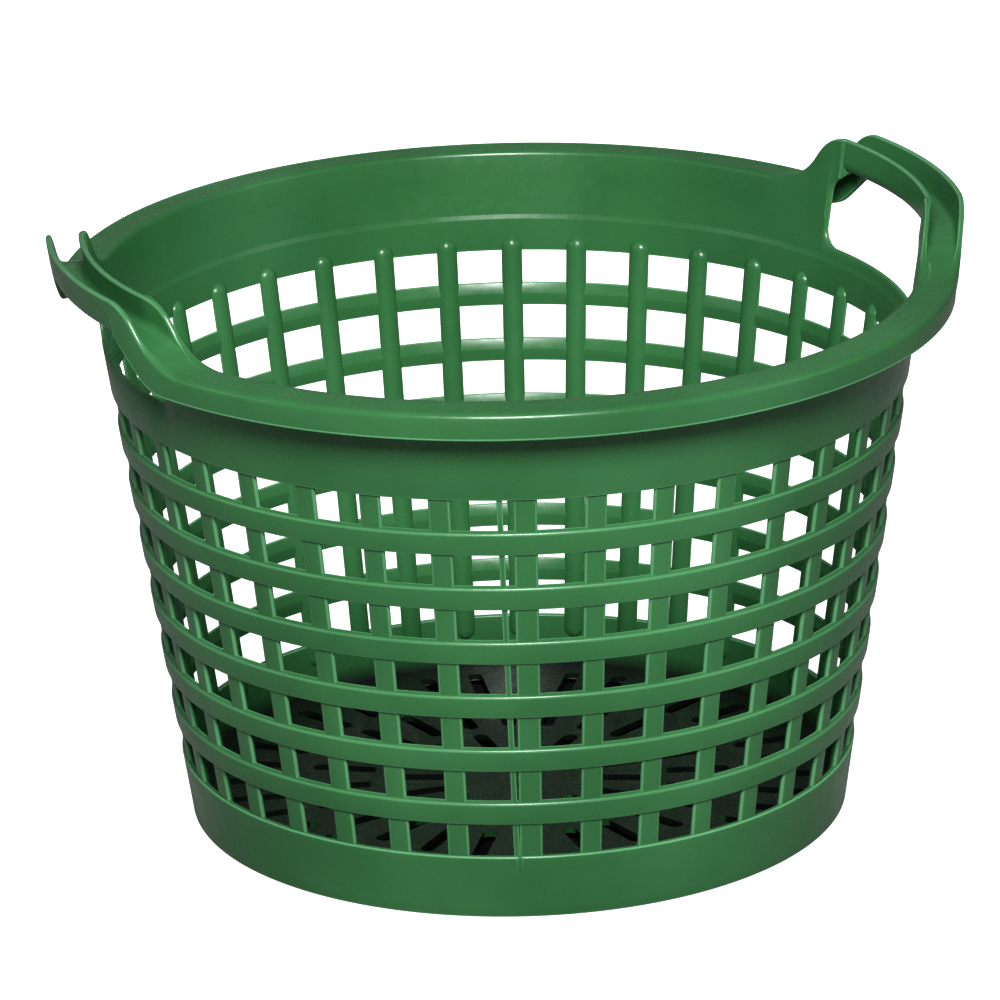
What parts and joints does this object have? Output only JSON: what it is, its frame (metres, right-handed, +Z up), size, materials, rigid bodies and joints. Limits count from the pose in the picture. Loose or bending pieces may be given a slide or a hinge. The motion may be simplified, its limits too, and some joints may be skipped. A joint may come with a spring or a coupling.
{
  "type": "harvest basket",
  "caption": "Round tapered lattice basket in green plastic with a turned-out rim that rises into two channel handles, for carrying harvested produce and nursery stock.",
  "frame": {"origin": "centre of the round footprint at ground level", "axes": "+Z up along the basket's axis; +X through the middle of one handle, so the two handles stand at +X and -X; +Y to the back"},
  "size_m": [0.426, 0.4184, 0.2865],
  "materials": {
    "green_plastic": "moulded semi-gloss mid green, faint flow and handling marks"
  },
  "bodies": {
    "root": {"floor_plate": "green_plastic", "base_band": "green_plastic", "upright_ribs": "green_plastic", "seam_rib_wide": "green_plastic", "seam_rib_narrow": "green_plastic", "hoop_1": "green_plastic", "hoop_2": "green_plastic", "hoop_3": "green_plastic", "hoop_4": "green_plastic", "hoop_5": "green_plastic", "hoop_6": "green_plastic", "top_band": "green_plastic", "rim_front": "green_plastic", "rim_back": "green_plastic", "handle_right_grip": "green_plastic", "handle_right_front_post": "green_plastic", "handle_right_back_post": "green_plastic", "handle_left_grip": "green_plastic", "handle_left_front_post": "green_plastic", "handle_left_back_post": "green_plastic"}
  },
  "joints": []
}
